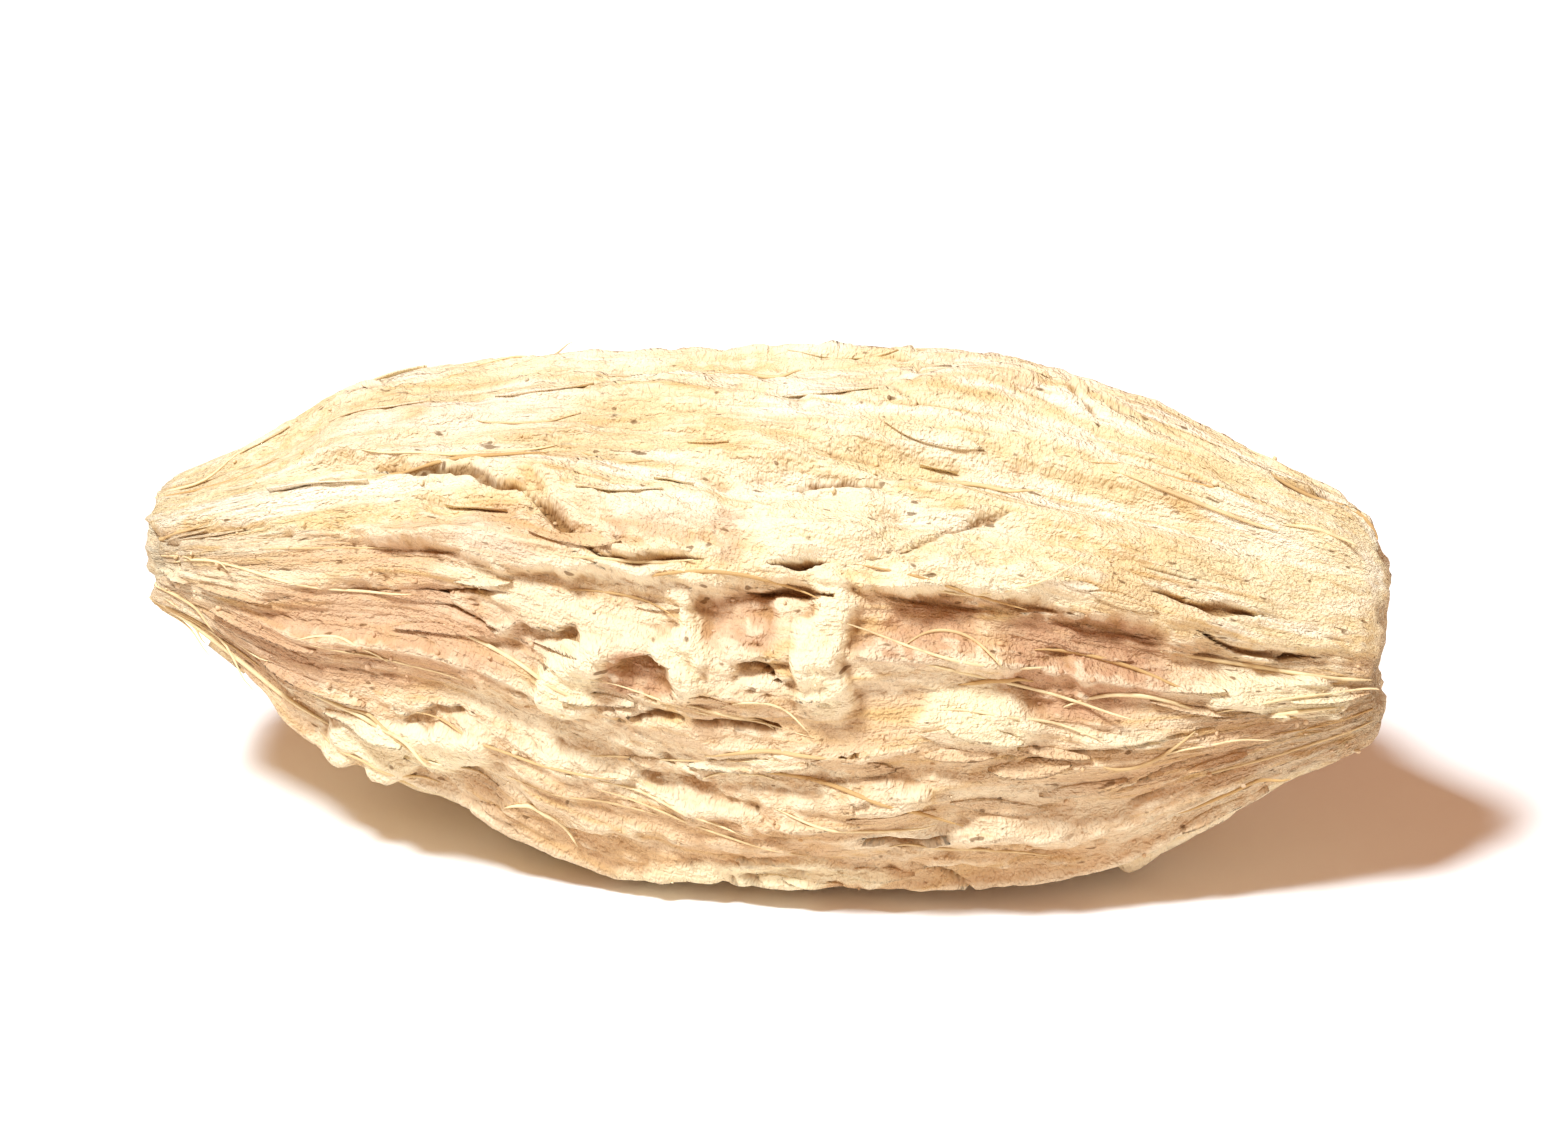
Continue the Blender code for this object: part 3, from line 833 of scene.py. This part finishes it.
def fibres():
    """Loose fibres that lie along the layers, bridge the small dips and rise at one end."""
    random = np.random.default_rng(5)
    along, turn = places(random, FIBRES, 4 * FIBRES, 1.35, fibre_chance)
    count = len(along)
    share = np.linspace(-0.5, 0.5, FIBRE_POINTS)
    length = random.uniform(*FIBRE_LENGTH, count)[:, None]
    drift = random.normal(0, 0.05, count)[:, None]
    bow = random.normal(0, 0.06, count)[:, None]
    path_along = np.clip(along[:, None] + share * length / (LENGTH / 2), -0.985, 0.985)
    path_turn = turn[:, None] + drift * share * length + bow * (share**2 * 4)
    laid = surface(path_along.ravel(), path_turn.ravel() % math.tau)
    shape = (count, FIBRE_POINTS, 3)
    normal = laid["normal"].reshape(shape)
    path = smoothed(laid["place"].reshape(shape), 1)
    radius = random.uniform(*FIBRE_RADIUS, count)[:, None] * (1 - 0.75 * np.abs(share * 2) ** 3)
    loose = random.uniform(0, 1, count)[:, None] ** 3
    rising = FIBRE_LIFT * loose * ramp(0.1, 0.5, share) ** 2 * np.minimum(length, 2)
    path += normal * (0.35 * radius.max(axis=1, keepdims=True) + rising)[:, :, None]
    fits = within_box(path)
    piece = loose_piece("chunk_fibres", *tubes(path[fits], normal[fits], radius[fits]))
    tint = random.uniform(0, 1, fits.sum())
    grain = laid["grain"].reshape(shape)[fits].reshape(-1, 3)
    keep(piece.data, "tint", np.repeat(tint, FIBRE_POINTS * FIBRE_SIDES))
    keep(piece.data, "grain", np.repeat(grain, FIBRE_SIDES, axis=0))
    return piece


def flake_chance(made):
    """How likely a flake is: more on torn tissue, none on skin."""
    return 0.3 + 0.25 * made["torn"] - made["skin"]


def flake_places(random, along, turn):
    """Where the points of long pointed flakes lie on the chunk: along and turn, as (flake, long, wide)."""
    count = len(along)
    lengthwise = np.linspace(-1, 1, FLAKE_LONG)[:, None]
    crosswise = np.linspace(-1, 1, FLAKE_WIDE)
    long = random.uniform(*FLAKE_LENGTH, count)[:, None, None]
    wide = long * random.uniform(*FLAKE_WIDTH, count)[:, None, None]
    ragged = random.uniform(0.75, 1.1, (count, FLAKE_LONG, 1))
    width = wide * (1 - np.abs(lengthwise) ** 2.5 + 0.02) * ragged
    skew = random.normal(0, 0.12, count)[:, None, None]
    point_along = along[:, None, None] + lengthwise * long / (LENGTH / 2) + 0 * crosswise
    sideways = crosswise * width + skew * lengthwise * long
    point_turn = turn[:, None, None] + sideways / ROUGH_RADIUS
    return np.clip(point_along, -0.98, 0.98), point_turn % math.tau


def flake_faces(count):
    """The faces of closed flakes: an upper and a lower sheet, joined round their rim."""
    size = FLAKE_LONG * FLAKE_WIDE
    index = np.arange(size).reshape(FLAKE_LONG, FLAKE_WIDE)
    rim = np.concatenate([index[0], index[1:, -1], index[-1, -2::-1], index[-2:0:-1, 0]])
    faces = []
    for upper in range(0, 2 * size * count, 2 * size):
        lower = upper + size
        for row, after in zip(index[:-1], index[1:]):
            for a, b, c, d in zip(row[:-1], row[1:], after[1:], after[:-1]):
                faces.append((upper + a, upper + b, upper + c, upper + d))
                faces.append((lower + d, lower + c, lower + b, lower + a))
        for a, b in zip(rim, np.roll(rim, -1)):
            faces.append((upper + b, upper + a, lower + a, lower + b))
    return faces


def flakes():
    """Thin flakes that lie along the layers and lift on one long side."""
    random = np.random.default_rng(8)
    along, turn = places(random, FLAKES, 5 * FLAKES, 1.3, flake_chance)
    point_along, point_turn = flake_places(random, along, turn)
    made = surface(point_along.ravel(), point_turn.ravel())
    shape = (len(along), FLAKE_LONG, FLAKE_WIDE, 3)
    normal = made["normal"].reshape(shape)
    place = smoothed(made["place"].reshape(shape), 1, 2)
    lift = random.uniform(0.0, FLAKE_LIFT, len(along))[:, None, None]
    lift = FLAKE_GAP + lift * np.linspace(0, 1, FLAKE_WIDE) ** 1.7
    upper = place + normal * lift[..., None]
    lower = upper - normal * FLAKE_THICK
    size = FLAKE_LONG * FLAKE_WIDE
    verts = np.stack([upper, lower], axis=1).reshape(len(along), 2 * size, 3)
    fits = within_box(verts)
    verts = verts[fits].reshape(-1, 3)
    piece = loose_piece("chunk_flakes", verts, flake_faces(fits.sum()))
    for name in SHARED_FIELDS:
        field = made[name].reshape(len(fits), 1, size, -1)[fits]
        keep(piece.data, name, np.repeat(field, 2, axis=1).reshape(len(verts), -1).squeeze())
    return piece


def crumb_chance(made):
    """How likely a crumb is: more on torn tissue and in cracks."""
    return 0.12 + 0.5 * made["torn"] + 0.3 * made["crack"]


def round_grain():
    """Points and faces of a ball of radius 1."""
    ball = bmesh.new()
    bmesh.ops.create_icosphere(ball, subdivisions=2, radius=1)
    verts = np.array([v.co for v in ball.verts])
    faces = np.array([[v.index for v in face.verts] for face in ball.faces])
    ball.free()
    return verts, faces


def crumbs():
    """Small irregular grains that cling to the broken front and to the hollows."""
    random = np.random.default_rng(9)
    along, turn = places(random, CRUMBS, 5 * CRUMBS, 1.3, crumb_chance)
    made = surface(along, turn)
    count = len(along)
    round_verts, round_faces = round_grain()
    size = CRUMB_RADIUS + CRUMB_SPREAD * random.uniform(0, 1, count) ** 2.5
    stretch = random.uniform(0.6, 1.3, (count, 1, 3))
    knobbly = random.uniform(0.8, 1.15, (count, len(round_verts), 1))
    verts = round_verts[None] * stretch * knobbly * size[:, None, None]
    verts += (made["place"] + made["normal"] * 0.4 * size[:, None])[:, None]
    fits = within_box(verts)
    verts = verts[fits]
    faces = round_faces[None] + (np.arange(len(verts)) * len(round_verts))[:, None, None]
    piece = loose_piece("chunk_crumbs", verts.reshape(-1, 3), faces.reshape(-1, 3).tolist())
    for name in SHARED_FIELDS:
        keep(piece.data, name, np.repeat(made[name][fits], len(round_verts), axis=0))
    return piece


def linear(code):
    """A colour as the shader takes it, from its web code."""
    shares = [int(code[i : i + 2], 16) / 255 for i in (0, 2, 4)]
    return [s / 12.92 if s < 0.04 else ((s + 0.055) / 1.055) ** 2.4 for s in shares] + [1]


class Nodes:
    """A material and short names for making its nodes. An input is a socket, a number or a colour's name."""

    def __init__(self, name):
        self.material = bpy.data.materials.new(name)
        self.material.use_nodes = True
        self.tree = self.material.node_tree

    def put(self, socket, value):
        """Links an input to a socket, or sets it."""
        if isinstance(value, bpy.types.NodeSocket):
            self.tree.links.new(value, socket)
        elif isinstance(value, str):
            socket.default_value = linear(COLOURS[value])
        else:
            socket.default_value = value

    def make(self, kind, inputs=None, **settings):
        """A new node with its settings and inputs."""
        node = self.tree.nodes.new(kind)
        for key, value in settings.items():
            setattr(node, key, value)
        for key, value in (inputs or {}).items():
            self.put(node.inputs[key], value)
        return node

    def field(self, name, output="Fac"):
        """What the mesh keeps at its vertices under this name."""
        return self.make("ShaderNodeAttribute", attribute_name=name).outputs[output]

    def stretched(self, vector, scale):
        """Coordinates scaled differently along each axis."""
        return self.make("ShaderNodeMapping", {"Vector": vector, "Scale": scale}).outputs["Vector"]

    def clouds(self, vector, scale, detail):
        """Smooth noise between 0 and 1."""
        inputs = {"Vector": vector, "Scale": scale, "Detail": detail, "Roughness": 0.55}
        return self.make("ShaderNodeTexNoise", inputs).outputs["Fac"]

    def range(self, value, low, high, start=0.0, end=1.0):
        """From start at low to end at high, smooth between and level outside."""
        inputs = {"Value": value, "From Min": low, "From Max": high, "To Min": start, "To Max": end}
        return self.make("ShaderNodeMapRange", inputs, interpolation_type="SMOOTHSTEP").outputs["Result"]

    def times(self, one, other):
        """Two values multiplied."""
        return self.make("ShaderNodeMath", {0: one, 1: other}, operation="MULTIPLY").outputs[0]

    def plus(self, one, other):
        """Two values added."""
        return self.make("ShaderNodeMath", {0: one, 1: other}, operation="ADD").outputs[0]

    def mix(self, share, one, other):
        """One colour with a share of the other. The node's colours are its sockets 6 and 7, and 2 is out."""
        return self.make("ShaderNodeMix", {0: share, 6: one, 7: other}, data_type="RGBA").outputs[2]

    def shade(self, inputs):
        """Fills the shader's inputs and gives back the finished material."""
        for key, value in inputs.items():
            self.put(self.tree.nodes["Principled BSDF"].inputs[key], value)
        return self.material


def tissue_colour(nodes, streaks, fibres, mottle):
    """Cream tissue on top and tan torn tissue on the front, with fibres, bundles and powder, and painted
    shade low on the front near the floor.
    """
    blotches = nodes.range(nodes.field("blotch"), -0.1, 0.35, 0, 0.75)
    top = nodes.mix(streaks, "cream", "pale cream")
    top = nodes.mix(blotches, top, "cream blotch")
    torn = nodes.mix(streaks, "torn", "pale torn")
    torn = nodes.mix(blotches, torn, "torn blotch")
    colour = nodes.mix(nodes.field("torn"), top, torn)
    colour = nodes.mix(nodes.range(fibres, 0.5, 0.72, 0, 0.45), colour, "fibre")
    colour = nodes.mix(nodes.times(nodes.field("bundle"), 0.7), colour, "bundle")
    powdery = nodes.times(nodes.field("mealy"), nodes.range(mottle, 0.35, 0.7, 0, 0.75))
    colour = nodes.mix(powdery, colour, "powder")
    # Painted shade low on the front, near the floor
    return nodes.mix(nodes.field("shaded"), colour, "low front shade")


def relief_colour(nodes, colour, mottle):
    """The colour with stains and pale ribs, painted shade in hollows, dips and cracks, and a painted
    highlight on crests.
    """
    stain = nodes.times(nodes.field("stain"), nodes.range(mottle, 0.3, 0.6, 0.6, 1.0))
    colour = nodes.mix(stain, colour, "stain")
    rib = nodes.times(nodes.field("pale"), nodes.range(mottle, 0.25, 0.6, 0.5, 0.95))
    colour = nodes.mix(rib, colour, "rib")
    # Painted shade in hollows and dips, and a painted highlight on crests
    colour = nodes.mix(nodes.range(nodes.field("hollow_shade"), -0.08, -0.4, 0, 0.45), colour, "hollow_shade")
    colour = nodes.mix(nodes.range(nodes.field("dip"), -0.012, -0.08, 0, 0.65), colour, "dip")
    # Painted shade in cracks, splits and holes, with the real brown of the core line
    colour = nodes.mix(nodes.range(nodes.field("crack"), 0.3, 1.0, 0, 0.7), colour, "crack")
    return nodes.mix(nodes.range(nodes.field("dip"), 0.008, 0.045, 0, 0.5), colour, "crest")


def bark_colour(nodes, streaks, mottle):
    """Brown dried skin with painted shade in its wrinkles and a painted highlight on its crests, dark just
    past each leaf ring and pale on the ring's edge.
    """
    bark = nodes.mix(streaks, "bark", "pale bark")
    bark = nodes.mix(nodes.range(mottle, 0.45, 0.7, 0, 0.8), bark, "bark mottle")
    bark = nodes.mix(nodes.range(nodes.field("blotch"), 0.0, 0.4, 0, 0.5), bark, "bark blotch")
    # Painted shade in the skin's wrinkles, and a painted highlight on its crests
    bark = nodes.mix(nodes.range(nodes.field("dip"), -0.005, -0.05, 0, 0.8), bark, "bark dip shade")
    bark = nodes.mix(nodes.range(nodes.field("dip"), 0.01, 0.05, 0, 0.5), bark, "bark crest highlight")
    bark = nodes.mix(nodes.range(nodes.field("ring"), 0.0, 0.07, 0.8, 0), bark, "past a ring")
    return nodes.mix(nodes.range(nodes.field("ring"), 0.8, 0.93, 0, 0.6), bark, "ring")


def root_material():
    """Powdery cream root, straw and tan where it is torn, brown in cracks and on its skin."""
    nodes = Nodes("dried_root")
    grain = nodes.field("grain", "Vector")
    streaks = nodes.range(nodes.field("streak"), -0.3, 0.3)
    fibres = nodes.clouds(nodes.stretched(grain, (1.3, 12.0, 12.0)), 1.0, 2)
    mottle = nodes.clouds(grain, 7.0, 3)
    powder = nodes.clouds(grain, 26.0, 1)
    specks = nodes.clouds(nodes.stretched(grain, (5.0, 9.0, 9.0)), 1.0, 1)

    colour = tissue_colour(nodes, streaks, fibres, mottle)
    colour = relief_colour(nodes, colour, mottle)
    cut_end = nodes.mix(nodes.range(mottle, 0.4, 0.65), "cut bundle", "cut tissue")
    colour = nodes.mix(nodes.times(nodes.field("cap"), 0.6), colour, cut_end)
    colour = nodes.mix(nodes.range(specks, 0.70, 0.76, 0, 0.75), colour, "speck")
    colour = nodes.mix(nodes.field("skin"), colour, bark_colour(nodes, streaks, mottle))

    fibrous = nodes.times(fibres, nodes.range(nodes.field("mealy"), 0, 1, 1.0, 0.3))
    height = nodes.plus(fibrous, nodes.times(powder, 0.7))
    height = nodes.plus(height, nodes.times(mottle, 0.8))
    bump = nodes.make("ShaderNodeBump", {"Strength": 1.0, "Distance": BUMP_DEPTH, "Height": height})
    return nodes.shade(
        {
            "Base Color": colour,
            "Roughness": nodes.range(mottle, 0.3, 0.7, 0.78, 0.97),
            "Specular IOR Level": 0.2,
            "Normal": bump.outputs["Normal"],
        }
    )


def fibre_material():
    """Straw-coloured strands, some pale and some brown."""
    nodes = Nodes("root_fibre")
    mottle = nodes.clouds(nodes.field("grain", "Vector"), 4.0, 3)
    colour = nodes.mix(nodes.range(nodes.field("tint"), 0.1, 0.7), "strand", "pale strand")
    colour = nodes.mix(nodes.range(mottle, 0.45, 0.7, 0, 0.4), colour, "strand mottle")
    return nodes.shade({"Base Color": colour, "Roughness": 0.85, "Specular IOR Level": 0.25})


def floor():
    """A plain pale floor."""
    bpy.ops.mesh.primitive_plane_add(size=1.2)
    plane = bpy.context.object
    plane.name = "floor"
    plane.data.materials.append(Nodes("floor").shade({"Base Color": "floor", "Roughness": 0.9}))


def stand(name, data, target, azimuth, elevation, distance):
    """Puts a lamp or a camera at these angles, round from the front and up, so that it looks at a target."""
    level = math.cos(elevation)
    toward = Vector((math.sin(azimuth) * level, -math.cos(azimuth) * level, math.sin(elevation)))
    placed = bpy.data.objects.new(name, data)
    placed.location = target + toward * distance
    placed.rotation_euler = toward.to_track_quat("Z", "Y").to_euler()
    bpy.context.scene.collection.objects.link(placed)
    return placed


def area_light(name, azimuth, elevation, distance, size, watts, colour):
    """A soft square light that looks at the chunk, placed by angles in degrees."""
    data = bpy.data.lights.new(name, "AREA")
    data.size = size
    data.energy = watts
    data.color = colour
    stand(name, data, Vector(), math.radians(azimuth), math.radians(elevation), distance)


def studio():
    """Bright light from the upper left, a faint one from the right, and warm light from all round."""
    area_light("upper_left", -40, 60, distance=0.25, size=0.05, watts=0.93, colour=(0.88, 1.0, 1.1))
    area_light("right_fill", 50, 16, distance=0.35, size=0.25, watts=0.18, colour=(0.94, 1.0, 1.0))
    world = bpy.data.worlds.new("studio")
    bpy.context.scene.world = world
    world.use_nodes = True
    background = world.node_tree.nodes["Background"]
    background.inputs["Color"].default_value = SURROUNDINGS
    background.inputs["Strength"].default_value = SURROUNDINGS_STRENGTH
    bpy.context.scene.view_settings.view_transform = "Standard"


def camera():
    """The photograph's viewing angle, close enough for the chunk to fill the frame."""
    data = bpy.data.cameras.new("camera")
    data.lens = LENS
    data.clip_start = 0.01
    centre = (Vector(CAD_LOW) + Vector(CAD_HIGH)) / 2
    distance = FRAME_WIDTH * data.lens / data.sensor_width
    bpy.context.scene.camera = stand("camera", data, centre, FRONT_TURN, FRONT_LIFT, distance)


def show(piece, material, replaces=False):
    """Adds a piece of the chunk to the scene and ties it to the CAD model."""
    bpy.context.scene.collection.objects.link(piece)
    piece.data.materials.append(material)
    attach(piece, "root")
    if replaces:
        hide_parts(NODE)


root = root_material()
strand = fibre_material()
show(body(), root, replaces=True)
show(flakes(), root)
show(fibres(), strand)
show(crumbs(), root)

floor()
studio()
camera()
